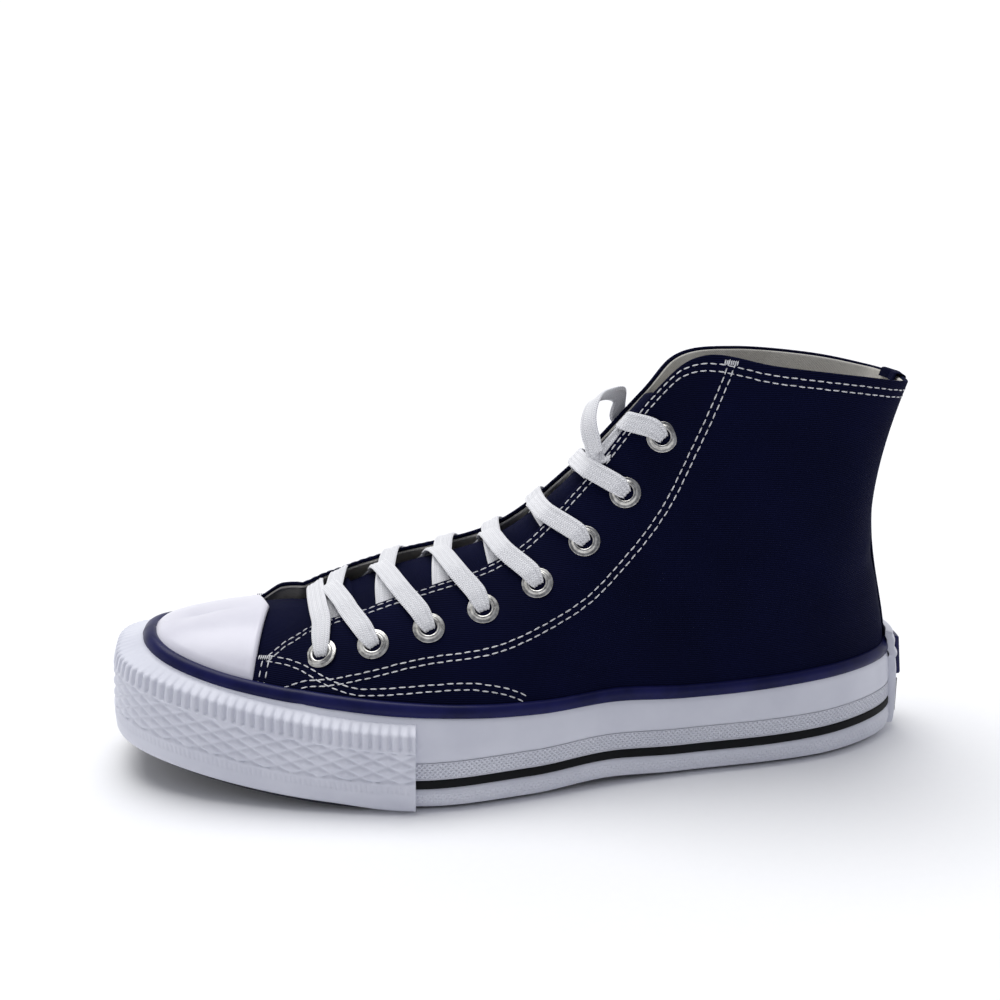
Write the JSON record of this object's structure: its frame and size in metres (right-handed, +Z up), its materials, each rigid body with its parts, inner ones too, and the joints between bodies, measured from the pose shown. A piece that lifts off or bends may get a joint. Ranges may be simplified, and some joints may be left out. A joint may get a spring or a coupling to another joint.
{
  "type": "canvas high-top sneaker",
  "caption": "Left high-top canvas sneaker with a hollow lace-up upper, tongue, rubber toe cap, foxing, toe bumper, flat sole and flat laces through metal eyelets.",
  "frame": {"origin": "centre of the bounding box in plan, on the plane the sole stands on", "axes": "+X toward the toe, +Y toward the shoe's outer (lateral) side, +Z up"},
  "size_m": [0.2952, 0.1092, 0.148],
  "materials": {
    "canvas": "matt woven navy cotton canvas",
    "white_rubber": "smooth satin white rubber",
    "navy_rubber": "glossy navy rubber",
    "sole_rubber": "matt dark navy rubber",
    "lining": "matt off-white cotton lining",
    "nickel": "polished nickel",
    "lace": "flat white woven cotton lace"
  },
  "bodies": {
    "root": {"outsole": "sole_rubber", "foxing": "white_rubber", "piping": "navy_rubber", "toe_bumper": "white_rubber", "heel_strip": "white_rubber", "heel_pad": "navy_rubber", "insole": "lining", "toe_cap": "white_rubber", "eyelet_lateral_1": "nickel", "eyelet_lateral_2": "nickel", "eyelet_lateral_3": "nickel", "eyelet_lateral_4": "nickel", "eyelet_lateral_5": "nickel", "eyelet_lateral_6": "nickel", "eyelet_lateral_7": "nickel", "eyelet_lateral_8": "nickel", "eyelet_medial_1": "nickel", "eyelet_medial_2": "nickel", "eyelet_medial_3": "nickel", "eyelet_medial_4": "nickel", "eyelet_medial_5": "nickel", "eyelet_medial_6": "nickel", "eyelet_medial_7": "nickel", "eyelet_medial_8": "nickel", "upper": "canvas", "tongue": "canvas", "lace_bar": "lace", "lace_cross_1": "lace", "lace_cross_2": "lace", "lace_cross_3": "lace", "lace_cross_4": "lace", "lace_cross_5": "lace", "lace_cross_6": "lace", "lace_cross_7": "lace"}
  },
  "joints": []
}
